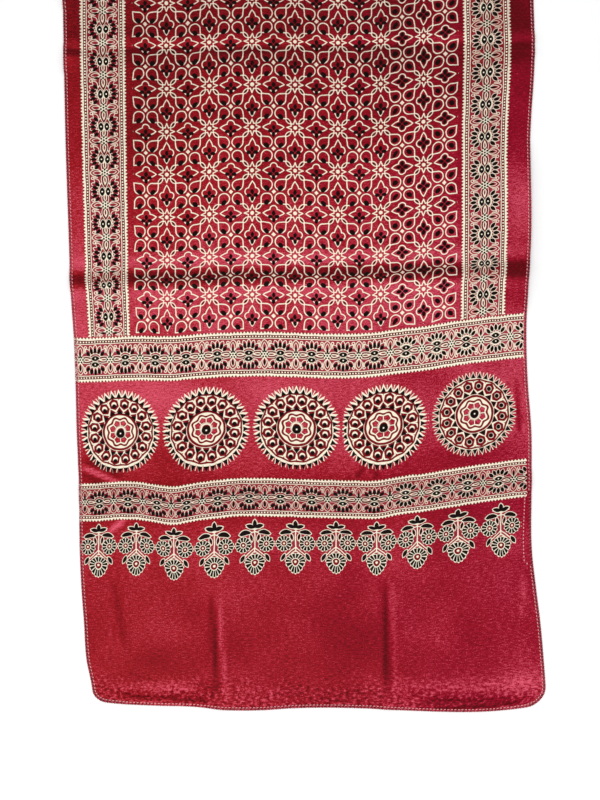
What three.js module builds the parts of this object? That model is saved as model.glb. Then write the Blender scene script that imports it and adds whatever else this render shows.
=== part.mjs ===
// A block-printed mashru silk stole, laid out flat and face up at its full length.
// One layer of satin-faced cloth with an overlocked edge all round and small rounded corners.
// Millimetres, +Z up. X runs across the stole and Y along it, with the near end at -Y.
// The underside rests on z = 0, and lifts off it only in the creases and curled edges.

import * as THREE from 'three';

// Driving dimensions
const LENGTH = 2100;
const THICKNESS = 1.2;
const EDGE_BEAD = 0.5;
const EDGE_BEAD_WIDTH = 5;
const CORNER_RADIUS_LEFT = 14;
const CORNER_RADIUS_RIGHT = 23;
const END_LINE_REACH = 60;

// Long edges of the near half: distance of each from the centre line, by distance from the end.
// The far half repeats them.
const LONG_EDGES = [
  { along: 0, left: 247, right: 290 },
  { along: 30, left: 251, right: 289 },
  { along: 60, left: 256, right: 287 },
  { along: 105, left: 259, right: 283 },
  { along: 145, left: 262, right: 278 },
  { along: 190, left: 264, right: 273 },
  { along: 268, left: 265, right: 272.5 },
  { along: 330, left: 267.5, right: 272.5 },
  { along: 393, left: 269, right: 268 },
  { along: 440, left: 271, right: 266.5 },
  { along: 500, left: 275, right: 268 },
  { along: 560, left: 277, right: 271 },
  { along: 680, left: 281, right: 271 },
  { along: 785, left: 283, right: 276.5 },
  { along: 845, left: 284, right: 275 },
  { along: 1050, left: 281, right: 275 },
];

// End edge: how far it stands back from the end of the length, by place across.
const END_EDGE = [
  { across: -250, back: 12 },
  { across: -222, back: 8.5 },
  { across: -175, back: 6 },
  { across: -127, back: 4.5 },
  { across: -90, back: 0.5 },
  { across: -45, back: 0.5 },
  { across: -15, back: 2.5 },
  { across: 75, back: 2.5 },
  { across: 125, back: 0 },
  { across: 235, back: 0 },
  { across: 262, back: 3 },
  { across: 290, back: 8 },
];

// Creases right across, left where the stole was folded up in eighths for storage.
// skew is how much further from the end the right side of the crease lies than the left, and
// dip is the share of its height by which its middle is pressed in.
const CROSS_CREASES = [
  { along: 266, height: 3.4, halfWidth: 18, skew: 16, dip: 0.2 },
  { along: 518, height: 5.6, halfWidth: 20, skew: 14, dip: 0 },
  { along: 786, height: 4.2, halfWidth: 18, skew: 9, dip: 0.8 },
  { along: 1050, height: 4.8, halfWidth: 20, skew: -3, dip: 0 },
  { along: 1314, height: 4, halfWidth: 18, skew: 4, dip: 0.7 },
  { along: 1582, height: 5, halfWidth: 20, skew: -2, dip: 0 },
  { along: 1836, height: 3.2, halfWidth: 18, skew: -10, dip: 0.2 },
];
const DIP_SHARE = 0.45;

// Soft creases that run lengthwise. lean is how far each one drifts to the right on its way.
const LONG_CREASES = [
  { across: -99, lean: -9, from: -10, to: 150, height: 2.8, halfWidth: 20 },
  { across: 101, lean: -4, from: -10, to: 165, height: 3, halfWidth: 18 },
  { across: -198, lean: -30, from: 20, to: 190, height: 1.8, halfWidth: 18 },
  { across: 10, lean: 2, from: 20, to: 130, height: 1.2, halfWidth: 26 },
  { across: 190, lean: 6, from: 190, to: 420, height: 2, halfWidth: 15 },
  { across: 228, lean: -6, from: 170, to: 500, height: 2.6, halfWidth: 16 },
  { across: -196, lean: 10, from: 300, to: 480, height: 1.6, halfWidth: 24 },
  { across: 206, lean: 4, from: 1640, to: 1900, height: 2.2, halfWidth: 18 },
  { across: -120, lean: -8, from: 1930, to: 2095, height: 2.4, halfWidth: 24 },
  { across: 84, lean: 6, from: 1950, to: 2110, height: 2.6, halfWidth: 22 },
];

// Short slanted wrinkles that run into the cross creases, and puckers beside them.
const WRINKLES = [
  { across: -238, along: 279, reach: 38, halfWidth: 9, slope: -0.46, height: 3.2 },
  { across: 222, along: 298, reach: 54, halfWidth: 11, slope: 0.25, height: 2.6 },
  { across: 68, along: 283, reach: 11, halfWidth: 9, slope: 1.6, height: 1.8 },
  { across: 88, along: 282, reach: 11, halfWidth: 9, slope: -1.4, height: 1.8 },
  { across: 262, along: 797, reach: 22, halfWidth: 9, slope: 0.3, height: 3 },
  { across: 72, along: 760, reach: 16, halfWidth: 12, slope: 1.1, height: 2.4 },
];

// Stretches of edge that curl up. crest is how far in from the edge the curl is highest.
const EDGE_CURLS = [
  { edge: 'right', from: 470, to: 680, crest: 0, width: 16, height: 6 },
  { edge: 'right', from: 1420, to: 1600, crest: 0, width: 15, height: 5 },
  { edge: 'left', from: 755, to: 792, crest: 4, width: 18, height: 4.5 },
  { edge: 'left', from: 832, to: 872, crest: 4, width: 18, height: 4.5 },
  { edge: 'left', from: 1270, to: 1360, crest: 0, width: 14, height: 4 },
  { edge: 'nearEnd', from: -224, to: -94, crest: 10, width: 12, height: 4.2 },
  { edge: 'nearEnd', from: 112, to: 268, crest: 12, width: 13, height: 5 },
  { edge: 'farEnd', from: -190, to: -20, crest: 10, width: 12, height: 4 },
  { edge: 'farEnd', from: 150, to: 262, crest: 11, width: 12, height: 4.4 },
];

// Slack between the creases: low swells, cut off below so that most of the cloth lies flat.
const SWELL = { height: 2.2, across: 230, along: 205, drift: 0.35, floor: 0.5 };

// Grid lines, closer together where the sheet bends
const EDGE_COLUMNS = [0, 5, 12, 22];
const COLUMN_PITCH = 38;
const END_ROWS = [0, 1.5, 5, 10, 17, 27];
const ROW_PITCH = 44;
const CREASE_ROW_PITCH = 6;

const cloth = new THREE.MeshStandardMaterial({
  name: 'printed_mashru',
  color: new THREE.Color(0x9c1f26),
  roughness: 0.45,
  metalness: 0,
});

function curveThrough(rows, place, value) {
  const places = rows.map((row) => row[place]);
  const values = rows.map((row) => row[value]);
  const curve = new THREE.CubicInterpolant(places, values, 1);
  return (at) => curve.evaluate(at)[0];
}

const leftEdge = curveThrough(LONG_EDGES, 'along', 'left');
const rightEdge = curveThrough(LONG_EDGES, 'along', 'right');
const endEdge = curveThrough(END_EDGE, 'across', 'back');

// 1 at the middle and 0 from one half width outwards, with a soft top and soft feet
function hump(distance, halfWidth) {
  const u = Math.min(Math.abs(distance) / halfWidth, 1);
  return (1 - u * u) ** 2;
}

// 1 along the middle of a stretch, easing to 0 at both of its ends
function stretch(at, from, to) {
  const middle = (from + to) / 2;
  const u = Math.min(Math.abs(at - middle) / (to - middle), 1);
  return 1 - u ** 4;
}

// How far a rounded corner pulls a long edge in, at a distance from the end
function cornerInset(fromEnd, radius) {
  const rest = Math.max(radius - fromEnd, 0);
  return radius - Math.sqrt(radius * radius - rest * rest);
}

function crossCreaseHeight(across, along) {
  return CROSS_CREASES.reduce((sum, crease) => {
    const line = crease.along + crease.skew * (across / 560);
    const uneven = 0.8 + 0.2 * Math.cos(across / 61 + crease.along);
    const ridge = hump(along - line, crease.halfWidth);
    const trough = crease.dip * hump(along - line, crease.halfWidth * DIP_SHARE);
    return sum + crease.height * uneven * (ridge - trough);
  }, 0);
}

function longCreaseHeight(across, along) {
  return LONG_CREASES.reduce((sum, crease) => {
    const run = THREE.MathUtils.clamp((along - crease.from) / (crease.to - crease.from), 0, 1);
    const line = crease.across + crease.lean * run;
    const rise = crease.height * stretch(along, crease.from, crease.to);
    return sum + rise * hump(across - line, crease.halfWidth);
  }, 0);
}

function wrinkleHeight(across, along) {
  return WRINKLES.reduce((sum, wrinkle) => {
    const dx = across - wrinkle.across;
    const dy = along - wrinkle.along - wrinkle.slope * dx;
    return sum + wrinkle.height * hump(dx, wrinkle.reach) * hump(dy, wrinkle.halfWidth);
  }, 0);
}

function curlHeight(across, along, inside) {
  return EDGE_CURLS.reduce((sum, curl) => {
    const at = curl.edge === 'nearEnd' || curl.edge === 'farEnd' ? across : along;
    const lift = stretch(at, curl.from, curl.to) * hump(inside[curl.edge] - curl.crest, curl.width);
    return sum + curl.height * lift;
  }, 0);
}

function swellHeight(across, along) {
  const wave = Math.sin(along / SWELL.along * Math.PI + across * SWELL.drift / 100)
    * Math.cos(across / SWELL.across * Math.PI);
  return SWELL.height * Math.max(wave - SWELL.floor, 0);
}

// Place of a point of the cloth: share is 0 at the left edge and 1 at the right
function clothPoint(share, along) {
  const fromEnd = Math.min(along, LENGTH - along);
  const left = -leftEdge(fromEnd) + cornerInset(fromEnd, CORNER_RADIUS_LEFT);
  const right = rightEdge(fromEnd) - cornerInset(fromEnd, CORNER_RADIUS_RIGHT);
  const across = THREE.MathUtils.lerp(left, right, share);
  const back = endEdge(across) * Math.max(1 - fromEnd / END_LINE_REACH, 0);
  const inside = {
    left: across - left,
    right: right - across,
    nearEnd: along,
    farEnd: LENGTH - along,
  };
  const lift = Math.hypot(
    crossCreaseHeight(across, along),
    longCreaseHeight(across, along),
    wrinkleHeight(across, along),
    curlHeight(across, along, inside),
    swellHeight(across, along),
  );
  const nearestEdge = Math.min(inside.left, inside.right, inside.nearEnd, inside.farEnd);
  return {
    x: across,
    y: along < LENGTH / 2 ? along + back - LENGTH / 2 : along - back - LENGTH / 2,
    lift,
    thickness: THICKNESS + EDGE_BEAD * hump(nearestEdge, EDGE_BEAD_WIDTH),
  };
}

// Shares of the width at which the columns of the grid stand
function columnShares() {
  const width = leftEdge(LENGTH / 2) + rightEdge(LENGTH / 2);
  const margin = EDGE_COLUMNS[EDGE_COLUMNS.length - 1];
  const steps = Math.round((width - 2 * margin) / COLUMN_PITCH);
  const inner = Array.from({ length: steps - 1 }, (_, i) => margin + (width - 2 * margin) * (i + 1) / steps);
  const outer = EDGE_COLUMNS.map((inset) => width - inset).reverse();
  return [...EDGE_COLUMNS, ...inner, ...outer].map((place) => place / width);
}

// Distances from the near end at which the rows of the grid stand
function rowPlaces() {
  const rows = [...END_ROWS];
  const lastRow = LENGTH - END_ROWS[END_ROWS.length - 1];
  const isNearCrease = (at) => CROSS_CREASES.some(
    (crease) => Math.abs(at - crease.along) < crease.halfWidth + Math.abs(crease.skew) / 2,
  );
  let at = rows[rows.length - 1];
  while (at < lastRow) {
    const isCreased = isNearCrease(at + CREASE_ROW_PITCH);
    let step = CREASE_ROW_PITCH;
    while (!isCreased && step < ROW_PITCH && !isNearCrease(at + step)) {
      step += CREASE_ROW_PITCH;
    }
    at += step;
    if (at < lastRow - CREASE_ROW_PITCH) {
      rows.push(at);
    }
  }
  return [...rows, ...END_ROWS.map((inset) => LENGTH - inset).reverse()];
}

// Two faces of cloth, one above the other, closed by a rim round all four edges
function sheetGeometry(shares, rows) {
  const columns = shares.length;
  const layer = columns * rows.length;
  const positions = new Float32Array(layer * 2 * 3);
  rows.forEach((along, j) => {
    shares.forEach((share, i) => {
      const point = clothPoint(share, along);
      const top = j * columns + i;
      positions.set([point.x, point.y, point.lift + point.thickness], top * 3);
      positions.set([point.x, point.y, point.lift], (top + layer) * 3);
    });
  });

  const indices = [];
  const quad = (a, b, c, d) => indices.push(a, b, c, a, c, d);
  for (let j = 0; j < rows.length - 1; j += 1) {
    for (let i = 0; i < columns - 1; i += 1) {
      const a = j * columns + i;
      quad(a, a + 1, a + columns + 1, a + columns);
      quad(a + layer, a + columns + layer, a + columns + 1 + layer, a + 1 + layer);
    }
  }
  const rim = [];
  for (let i = 0; i < columns - 1; i += 1) {
    rim.push(i);
  }
  for (let j = 0; j < rows.length - 1; j += 1) {
    rim.push(j * columns + columns - 1);
  }
  for (let i = columns - 1; i > 0; i -= 1) {
    rim.push((rows.length - 1) * columns + i);
  }
  for (let j = rows.length - 1; j > 0; j -= 1) {
    rim.push(j * columns);
  }
  rim.forEach((a, k) => {
    const b = rim[(k + 1) % rim.length];
    quad(a, a + layer, b + layer, b);
  });

  const geometry = new THREE.BufferGeometry();
  geometry.setAttribute('position', new THREE.BufferAttribute(positions, 3));
  geometry.setIndex(indices);
  return geometry;
}

// The origin is under the middle of the stole's outline, on the surface it lies on
function centredOnSurface(geometry) {
  geometry.computeBoundingBox();
  const middle = geometry.boundingBox.getCenter(new THREE.Vector3());
  geometry.translate(-middle.x, -middle.y, -geometry.boundingBox.min.z);
  geometry.computeVertexNormals();
  return geometry;
}

const sheet = sheetGeometry(columnShares(), rowPlaces());
const stoleCloth = new THREE.Mesh(centredOnSurface(sheet), cloth);
stoleCloth.name = 'stole_cloth';

const stole = new THREE.Group();
stole.name = 'mashru_silk_stole';
stole.add(stoleCloth);

export default stole;
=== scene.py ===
# A block-printed mashru silk stole, laid out flat and face up at its full length: the printed cloth
# with its creases and curled edges, the overlock stitches over its cut edge, and the stage.
# Metres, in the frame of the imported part: X runs across the stole and Y along it.

import math

import bpy
import numpy as np
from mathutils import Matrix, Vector


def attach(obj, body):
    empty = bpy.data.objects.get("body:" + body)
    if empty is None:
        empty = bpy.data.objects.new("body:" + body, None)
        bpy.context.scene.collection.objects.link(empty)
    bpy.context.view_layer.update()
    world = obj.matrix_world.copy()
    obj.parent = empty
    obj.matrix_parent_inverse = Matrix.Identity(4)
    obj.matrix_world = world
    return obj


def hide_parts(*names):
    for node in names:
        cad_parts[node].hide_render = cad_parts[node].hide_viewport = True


bl_info = {
    "name": "Mashru silk stole",
    "version": (1, 0, 0),
    "blender": (4, 5, 0),
    "location": "View3D > Sidebar > Stole",
    "description": "Makes a block-printed silk stole with its stitched edge and a plain stage",
    "category": "Add Mesh",
}

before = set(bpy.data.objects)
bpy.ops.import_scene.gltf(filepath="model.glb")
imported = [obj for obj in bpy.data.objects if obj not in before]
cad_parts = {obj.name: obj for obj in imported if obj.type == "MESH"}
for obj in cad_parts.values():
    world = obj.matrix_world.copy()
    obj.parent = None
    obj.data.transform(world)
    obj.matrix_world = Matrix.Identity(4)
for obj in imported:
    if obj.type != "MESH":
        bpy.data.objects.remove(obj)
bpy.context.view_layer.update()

NODE = "stole_cloth"
BODY = "root"
PRINT_MAP = "print"
BAKE_MAP = "OFBake"
# Name of the points' painted light, which paints sheen and shade into the satin's colour
PAINTED_LIGHT = "painted_light"

# The cloth's own sizes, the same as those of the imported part
LENGTH = 2.1
CORNER_RADIUS_LEFT = 0.014
CORNER_RADIUS_RIGHT = 0.023
END_LINE_REACH = 0.060

# The width over which a crease or a band of light runs askew by its skew
CREASE_SPAN = 0.56

# Long edges of the near half: distance of each from the centre line, by distance from the end
LONG_EDGES = {
    "along": (0, 0.030, 0.060, 0.105, 0.145, 0.190, 0.268, 0.330, 0.393, 0.440, 0.500, 0.560, 0.680,
              0.785, 0.845, 1.050),
    "left": (0.247, 0.251, 0.256, 0.259, 0.262, 0.264, 0.265, 0.2675, 0.269, 0.271, 0.275, 0.277, 0.281,
             0.283, 0.284, 0.281),
    "right": (0.290, 0.289, 0.287, 0.283, 0.278, 0.273, 0.2725, 0.2725, 0.268, 0.2665, 0.268, 0.271, 0.271,
              0.2765, 0.275, 0.275),
}

# End edge: how far it stands back from the end of the length, by place across
END_EDGE = {
    "across": (-0.250, -0.222, -0.175, -0.127, -0.090, -0.045, -0.015, 0.075, 0.125, 0.235, 0.262, 0.290),
    "back": (0.012, 0.0085, 0.006, 0.0045, 0.0005, 0.0005, 0.0025, 0.0025, 0, 0, 0.003, 0.008),
}

# Creases right across, where the stole was folded up in eighths. skew is how much further from the
# end the right side of the crease lies than the left, and dip how deep its middle is pressed in.
CROSS_CREASES = (
    dict(along=0.266, height=0.0034, half_width=0.018, skew=0.016, dip=0.2),
    dict(along=0.518, height=0.0056, half_width=0.020, skew=0.014, dip=0),
    dict(along=0.786, height=0.0042, half_width=0.018, skew=0.009, dip=0.8),
    dict(along=1.050, height=0.0048, half_width=0.020, skew=-0.003, dip=0),
    dict(along=1.314, height=0.0040, half_width=0.018, skew=0.004, dip=0.7),
    dict(along=1.582, height=0.0050, half_width=0.020, skew=-0.002, dip=0),
    dict(along=1.836, height=0.0032, half_width=0.018, skew=-0.010, dip=0.2),
)
DIP_SHARE = 0.45

# A crease's height changes across the cloth by this share, in waves of this length
CREASE_UNEVEN = 0.2
CREASE_WAVE = 0.061

# Soft creases that run lengthwise. lean is how far each one drifts to the right on its way.
LONG_CREASES = (
    dict(across=-0.099, lean=-0.009, start=-0.010, end=0.150, height=0.0028, half_width=0.020),
    dict(across=0.101, lean=-0.004, start=-0.010, end=0.165, height=0.0030, half_width=0.018),
    dict(across=-0.198, lean=-0.030, start=0.020, end=0.190, height=0.0018, half_width=0.018),
    dict(across=0.010, lean=0.002, start=0.020, end=0.130, height=0.0012, half_width=0.026),
    dict(across=0.190, lean=0.006, start=0.190, end=0.420, height=0.0020, half_width=0.015),
    dict(across=0.228, lean=-0.006, start=0.170, end=0.500, height=0.0026, half_width=0.016),
    dict(across=-0.196, lean=0.010, start=0.300, end=0.480, height=0.0016, half_width=0.024),
    dict(across=0.206, lean=0.004, start=1.640, end=1.900, height=0.0022, half_width=0.018),
    dict(across=-0.120, lean=-0.008, start=1.930, end=2.095, height=0.0024, half_width=0.024),
    dict(across=0.084, lean=0.006, start=1.950, end=2.110, height=0.0026, half_width=0.022),
)

# Short slanted wrinkles that run into the cross creases near the long edges, and one pucker
WRINKLES = (
    dict(across=-0.238, along=0.279, reach=0.038, half_width=0.009, slope=-0.46, height=0.0032),
    dict(across=0.222, along=0.298, reach=0.054, half_width=0.011, slope=0.25, height=0.0026),
    dict(across=0.068, along=0.283, reach=0.011, half_width=0.009, slope=1.6, height=0.0018),
    dict(across=0.088, along=0.282, reach=0.011, half_width=0.009, slope=-1.4, height=0.0018),
    dict(across=0.262, along=0.797, reach=0.022, half_width=0.009, slope=0.30, height=0.0030),
    dict(across=0.072, along=0.760, reach=0.016, half_width=0.012, slope=1.10, height=0.0024),
)

# Stretches of edge that curl up. crest is how far in from the edge the curl is highest.
EDGE_CURLS = (
    dict(edge="right", start=0.470, end=0.680, crest=0, width=0.016, height=0.0060),
    dict(edge="right", start=1.420, end=1.600, crest=0, width=0.015, height=0.0050),
    dict(edge="left", start=0.755, end=0.792, crest=0.004, width=0.018, height=0.0045),
    dict(edge="left", start=0.832, end=0.872, crest=0.004, width=0.018, height=0.0045),
    dict(edge="left", start=1.270, end=1.360, crest=0, width=0.014, height=0.0040),
    dict(edge="near_end", start=-0.224, end=-0.094, crest=0.010, width=0.012, height=0.0042),
    dict(edge="near_end", start=0.112, end=0.268, crest=0.012, width=0.013, height=0.0050),
    dict(edge="far_end", start=-0.190, end=-0.020, crest=0.010, width=0.012, height=0.0040),
    dict(edge="far_end", start=0.150, end=0.262, crest=0.011, width=0.012, height=0.0044),
)

# Slack between the creases: low swells, cut off below so that most of the cloth lies flat. across and
# along are half a wave, and drift how far the waves shift with the place across.
SWELL = dict(height=0.0022, across=0.230, along=0.205, drift=3.5, floor=0.5)

# The print, in its own flat measure: across from the centre line and along from the nearer end
PRINT_EDGES = (-0.284, 0.275)
PRINT_PIVOT = 0.150
SPRAY_ROW = (0.157, 0.2290)
LOWER_BORDER = (0.2290, 0.2775)
MEDALLION_ROW = (0.2775, 0.3960)
UPPER_BORDER = (0.3960, 0.4510)
LEFT_BORDER = (-0.2660, -0.2090)
RIGHT_BORDER = (0.1895, 0.2495)

# How far the print rises from the end towards the long edges, because the blocks were set askew. Its
# rise sets in and ends over these stretches of the length.
PRINT_RISE = {
    "across": (-0.284, -0.264, -0.205, -0.151, -0.109, -0.060, 0.090, 0.117, 0.140, 0.176, 0.206, 0.236,
               0.275),
    "rise": (-0.007, -0.007, -0.005, -0.005, -0.0015, 0, 0, 0.0035, 0.006, 0.0115, 0.0155, 0.019, 0.023),
}
RISE_STARTS = (0.020, 0.150)
RISE_ENDS = (0.870, 1.040)

# How far the lower border and the sprays below it waver, as puckers pull them up and down, and over
# which stretches of the length each waver sets in and ends
PRINT_WAVER = {
    "across": (-0.284, -0.264, -0.222, -0.194, -0.1745, -0.152, -0.127, -0.104, -0.079, -0.044, 0, 0.034,
               0.065, 0.088, 0.117, 0.165, 0.234, 0.275),
    "border": (0.001, 0.001, 0.002, 0, -0.0027, -0.005, -0.0026, -0.0015, 0.0003, 0, 0, 0,
               -0.001, -0.003, -0.0015, -0.001, 0.0005, 0.001),
    "sprays": (0.0017, 0.0017, 0.0017, 0.0013, -0.001, -0.004, -0.0046, -0.005, -0.0035, -0.0015, 0, 0.0012,
               0.001, -0.0023, -0.001, -0.0008, -0.0006, 0),
}
SPRAY_WAVER_STARTS = (0.120, 0.165)
BORDER_WAVER_STARTS = (0.205, 0.232)
BORDER_WAVER_ENDS = (0.270, 0.310)

# How much narrower the left of the print lies than it was printed, below the field
LEFT_STRETCH = {
    "along": (0, 0.200, 0.250, 0.335, 0.420, 0.460),
    "stretch": (0.925, 0.925, 0.920, 0.900, 0.955, 0.955),
}

# The drawing's own measure is the millimetre, which it reads from the print map in metres
MILLIMETRES = 1000

# The black block fell true from this place across on
BLACK_TRUE_FROM = 108

# The hand block's edges waver by up to this much, in waves so many to a metre
SHAKE = 1.6
SHAKE_SCALE = 90

# The field's print below this place lies this much further from the end than its repeat asks for
CREASE_SHIFT_BELOW = 515
CREASE_SHIFT = 4.8

# Width of the blurred rim of a printed edge
BLEED = 0.35

# Noise in the satin, so many waves to a metre across and along. The first four vary the painted sheen and
# shade: streaks, grain, broad clouds of light and the hem's crinkle.
SHEEN_STREAKS = (190, 620)
SHEEN_GRAIN = (800, 900)
SHEEN_CLOUDS = (14, 18)
HEM_CRINKLE_SHEEN = (230, 300)
DYE_CLOUDS = (9, 7)
FIBRES = (300, 900)
YARNS = (2400, 300)
CROSS_WRINKLES = (60, 240)
BACK_CLOUDS = (30, 36)
PLY_SCALE = 700

# How far in from the end, in millimetres, the hem's crinkle is painted as flecks of sheen and shade, and
# how fast the dye turns bluer across
HEM_REACH = 34
BLUER_PER_MILLIMETRE = 0.0022

# How the inks and the satin answer the painted light: painted sheen on the deep madder, painted shade on
# the cream, and the satin's roughness. Each fall is what full painted light takes off the value in painted
# shade.
DEEP_PAINTED_SHEEN = 0.42
CREAM_SHADE = 0.36
CREAM_SHADE_FALL = 0.85
FIBRE_SHADE = 0.10
BROWN_SHARE = 0.65
ROUGHNESS = 0.56
ROUGHNESS_FALL = 0.18

# Painted light on the satin along the stole, from 0 in painted shade to 1 in painted sheen
PAINTED_LIGHT_ALONG = {
    "along": (0, 0.05, 0.10, 0.16, 0.21, 0.23, 0.27, 0.285, 0.31, 0.36, 0.41, 0.47, 0.505, 0.55, 0.60,
              0.66, 0.72, 0.77, 0.82, 0.90, 1.05, 1.25, 1.33, 1.50, 1.58, 1.76, 1.85, 2.0, 2.1),
    "painted_light": (0.45, 0.41, 0.43, 0.47, 0.46, 0.40, 0.40, 0.50, 0.57, 0.61, 0.62, 0.65, 0.62, 0.54, 0.49,
               0.38, 0.29, 0.20, 0.17, 0.18, 0.30, 0.60, 0.30, 0.62, 0.34, 0.58, 0.44, 0.52, 0.48),
}

# Bands of painted shade and painted highlight beside the cross creases, each as far skewed as its crease
PAINTED_LIGHT_BANDS = (
    dict(along=0.518, skew=0.014, half_width=0.014, amount=-0.62),
    dict(along=0.500, skew=0.014, half_width=0.012, amount=0.10),
    dict(along=0.538, skew=0.014, half_width=0.014, amount=0.16),
    dict(along=0.7955, skew=0.009, half_width=0.013, amount=0.24),
    dict(along=0.786, skew=0.009, half_width=0.0045, amount=-0.50),
    dict(along=0.774, skew=0.009, half_width=0.012, amount=-0.10),
    dict(along=0.268, skew=0.016, half_width=0.012, amount=-0.10),
)

# Lines of painted highlight and painted shade along the smaller creases, from one place to another
PAINTED_LIGHT_LINES = (
    dict(start=(-0.264, 0.291), end=(-0.212, 0.268), half_width=0.005, amount=0.45),
    dict(start=(-0.262, 0.299), end=(-0.210, 0.276), half_width=0.007, amount=-0.40),
    dict(start=(-0.266, 0.283), end=(-0.214, 0.260), half_width=0.007, amount=-0.35),
    dict(start=(0.074, 0.292), end=(0.066, 0.276), half_width=0.005, amount=-0.35),
    dict(start=(0.083, 0.290), end=(0.091, 0.276), half_width=0.005, amount=-0.35),
    dict(start=(-0.107, 0.142), end=(-0.099, 0.010), half_width=0.007, amount=-0.34),
    dict(start=(-0.100, 0.142), end=(-0.092, 0.010), half_width=0.007, amount=0.30),
    dict(start=(0.098, 0.158), end=(0.102, 0.012), half_width=0.007, amount=-0.40),
    dict(start=(0.106, 0.158), end=(0.110, 0.012), half_width=0.008, amount=0.20),
    dict(start=(-0.225, 0.160), end=(-0.208, 0.066), half_width=0.007, amount=-0.18),
    dict(start=(-0.225, 0.013), end=(-0.105, 0.010), half_width=0.006, amount=-0.35),
    dict(start=(0.140, 0.012), end=(0.275, 0.014), half_width=0.006, amount=-0.35),
    dict(start=(-0.232, 0.211), end=(-0.209, 0.228), half_width=0.006, amount=0.50),
    dict(start=(0.264, 0.180), end=(0.262, 0.106), half_width=0.004, amount=0.22),
    dict(start=(0.244, 0.392), end=(0.247, 0.330), half_width=0.004, amount=-0.34),
    dict(start=(0.254, 0.392), end=(0.258, 0.325), half_width=0.004, amount=-0.34),
    # The hem's fold: a painted shadow along it and a painted highlight just inside it
    dict(start=(0.150, 0.004), end=(0.270, 0.009), half_width=0.003, amount=-0.60),
    dict(start=(0.160, 0.010), end=(0.262, 0.014), half_width=0.003, amount=0.25),
)

# Patches where the satin is painted brighter or darker than its row: painted sheen where amount is above 0,
# painted shade where below. reach is across and along.
PAINTED_LIGHT_PATCHES = (
    dict(across=-0.265, along=0.500, reach=(0.030, 0.140), amount=0.08),
    dict(across=0.262, along=0.600, reach=(0.030, 0.070), amount=0.18),
    dict(across=-0.265, along=0.650, reach=(0.030, 0.080), amount=0.06),
    dict(across=0.262, along=0.525, reach=(0.030, 0.030), amount=-0.30),
    dict(across=-0.276, along=0.772, reach=(0.026, 0.012), amount=0.34),
    dict(across=-0.180, along=0.375, reach=(0.060, 0.030), amount=0.14),
    dict(across=-0.165, along=0.310, reach=(0.030, 0.030), amount=-0.16),
    dict(across=0.010, along=0.385, reach=(0.120, 0.020), amount=0.06),
    dict(across=-0.113, along=0.026, reach=(0.011, 0.006), amount=-0.30),
    dict(across=0.180, along=0.300, reach=(0.060, 0.022), amount=-0.20),
    dict(across=0.050, along=0.080, reach=(0.040, 0.080), amount=-0.10),
    dict(across=0.190, along=0.030, reach=(0.110, 0.010), amount=0.20),
    dict(across=0.270, along=0.035, reach=(0.030, 0.030), amount=0.20),
    dict(across=-0.165, along=0.024, reach=(0.060, 0.008), amount=0.18),
    dict(across=-0.200, along=0.650, reach=(0.060, 0.100), amount=-0.11),
    dict(across=-0.265, along=0.790, reach=(0.030, 0.060), amount=-0.08),
    dict(across=0.262, along=0.820, reach=(0.030, 0.030), amount=-0.10),
    dict(across=0.262, along=0.485, reach=(0.025, 0.020), amount=-0.14),
    dict(across=0.150, along=0.395, reach=(0.040, 0.020), amount=-0.12),
    dict(across=-0.150, along=0.062, reach=(0.050, 0.020), amount=-0.05),
    dict(across=0.235, along=0.375, reach=(0.032, 0.026), amount=0.16),
)

# Rows and columns of the cloth's mesh, closer in the photographed half and by the edges
NEAR_ROW_PITCH = 0.0040
FAR_ROW_PITCH = 0.0070
COLUMN_PITCH = 0.0053
EDGE_COLUMNS = (0, 0.0015, 0.003)
END_ROWS = (0, 0.0006, 0.0016, 0.003, 0.005, 0.0075, 0.0105, 0.014, 0.018)

# The cloth, and the fold and thread that thicken its overlocked edge
CLOTH_THICKNESS = 0.0007
EDGE_BULK = 0.0006
EDGE_BULK_WIDTH = 0.005

# The bake map: the printed face in two columns, then the back and the rim in strips, from 0 to 1
BAKE_GAP = 0.003
FACE_COLUMN = 0.458
BACK_STRIP = (0.928, 0.986)
RIM_STRIP = (0.990, 0.997)

# How much further in the needle line runs on the right, where the hem was sewn down a second time
NEEDLE_STRAY = {
    "along": (0.172, 0.178, 0.200, 0.256, 0.262),
    "stray": (0, 0.0068, 0.0062, 0.0045, 0),
}

WRAP_SIDES = 4
NEEDLE_SIDES = 6
UP = np.array((0.0, 0.0, 1.0))


def curve_through(table, place, value):
    """Return a function that reads a smooth curve through a table's rows."""
    places = np.array(table[place], float)
    values = np.array(table[value], float)
    slopes = np.gradient(values, places)

    def at(points):
        points = np.clip(points, places[0], places[-1])
        row = np.clip(np.searchsorted(places, points) - 1, 0, len(places) - 2)
        step = places[row + 1] - places[row]
        t = (points - places[row]) / step
        start = (1 + 2 * t) * (1 - t) ** 2 * values[row] + t * (1 - t) ** 2 * step * slopes[row]
        end = t * t * (3 - 2 * t) * values[row + 1] + t * t * (t - 1) * step * slopes[row + 1]
        return start + end

    return at


left_edge = curve_through(LONG_EDGES, "along", "left")
right_edge = curve_through(LONG_EDGES, "along", "right")
end_edge = curve_through(END_EDGE, "across", "back")
print_rise = curve_through(PRINT_RISE, "across", "rise")
border_waver = curve_through(PRINT_WAVER, "across", "border")
spray_waver = curve_through(PRINT_WAVER, "across", "sprays")
painted_light_along = curve_through(PAINTED_LIGHT_ALONG, "along", "painted_light")
left_stretch = curve_through(LEFT_STRETCH, "along", "stretch")


def hump(distance, half_width):
    """1 in the middle and 0 from one half width outwards, with a soft top and soft feet."""
    u = np.minimum(np.abs(distance) / half_width, 1)
    return (1 - u * u) ** 2


def stretch(at, start, end):
    """1 along the middle of a stretch, easing to 0 at both of its ends."""
    middle = (start + end) / 2
    return 1 - np.minimum(np.abs(at - middle) / (end - middle), 1) ** 4


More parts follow.
